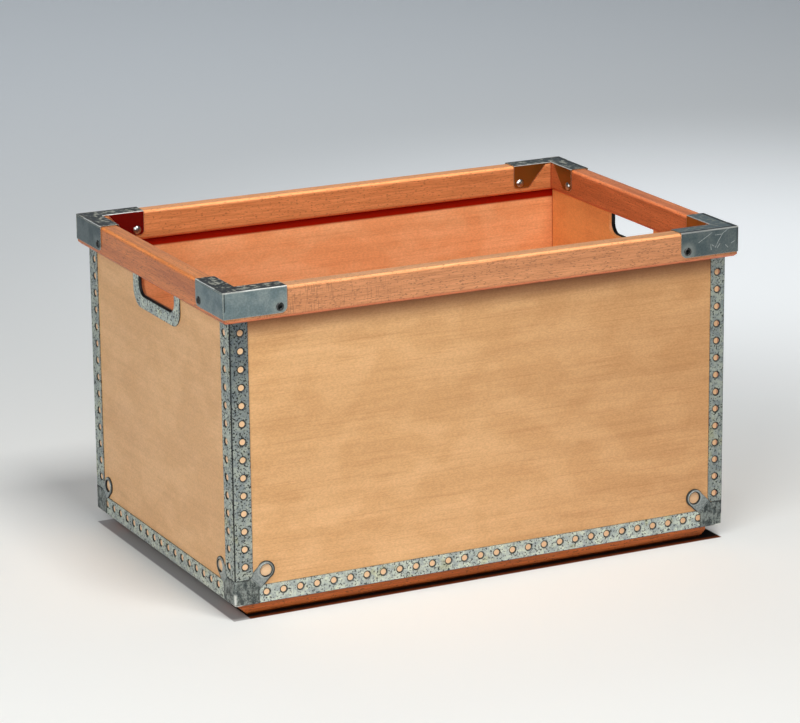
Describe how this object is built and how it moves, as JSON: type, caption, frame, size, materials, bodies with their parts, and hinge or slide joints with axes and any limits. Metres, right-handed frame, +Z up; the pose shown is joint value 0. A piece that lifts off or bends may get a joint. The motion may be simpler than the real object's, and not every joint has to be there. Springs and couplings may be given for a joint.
{
  "type": "open-top chuck box",
  "caption": "Open-top plywood box with beech rim rails, folded rim caps, perforated steel edge strips, lugged base corners, lined hand-holds and two skids.",
  "frame": {"origin": "centre of the box in plan, on the floor under the skids", "axes": "+X to the right along the long front side, +Y from the front to the back, +Z up"},
  "size_m": [0.5994, 0.398, 0.3495],
  "materials": {
    "plywood": "clear-lacquered birch plywood, satin",
    "rail_wood": "lacquered beech with short dark flecks, satin",
    "skid_wood": "lacquered beech, satin, darker than the rails",
    "zinc_strip": "galvanised sheet, dull, lightly speckled",
    "dark_zinc": "dark galvanised sheet, scratched, satin",
    "worn_zinc": "galvanised pressing, mottled, worn bright on its edges",
    "rivet_steel": "plated steel, semi-gloss",
    "screw_steel": "zinc-plated steel, satin"
  },
  "bodies": {
    "root": {"front_panel": "plywood", "back_panel": "plywood", "left_end_panel": "plywood", "right_end_panel": "plywood", "bottom_panel": "plywood", "front_rail": "rail_wood", "back_rail": "rail_wood", "left_rail": "rail_wood", "right_rail": "rail_wood", "rim_cap_front_left": "dark_zinc", "rim_cap_front_right": "dark_zinc", "rim_cap_back_left": "dark_zinc", "rim_cap_back_right": "dark_zinc", "rim_rivets": "rivet_steel", "edge_strip_front_left": "zinc_strip", "edge_strip_front_right": "zinc_strip", "edge_strip_back_left": "zinc_strip", "edge_strip_back_right": "zinc_strip", "base_strip_front": "zinc_strip", "base_strip_back": "zinc_strip", "base_strip_left": "zinc_strip", "base_strip_right": "zinc_strip", "base_corner_front_left": "worn_zinc", "base_corner_front_right": "worn_zinc", "base_corner_back_left": "worn_zinc", "base_corner_back_right": "worn_zinc", "handle_bezel_left": "zinc_strip", "handle_bezel_right": "zinc_strip", "front_skid": "skid_wood", "back_skid": "skid_wood", "skid_screws": "screw_steel"}
  },
  "joints": []
}
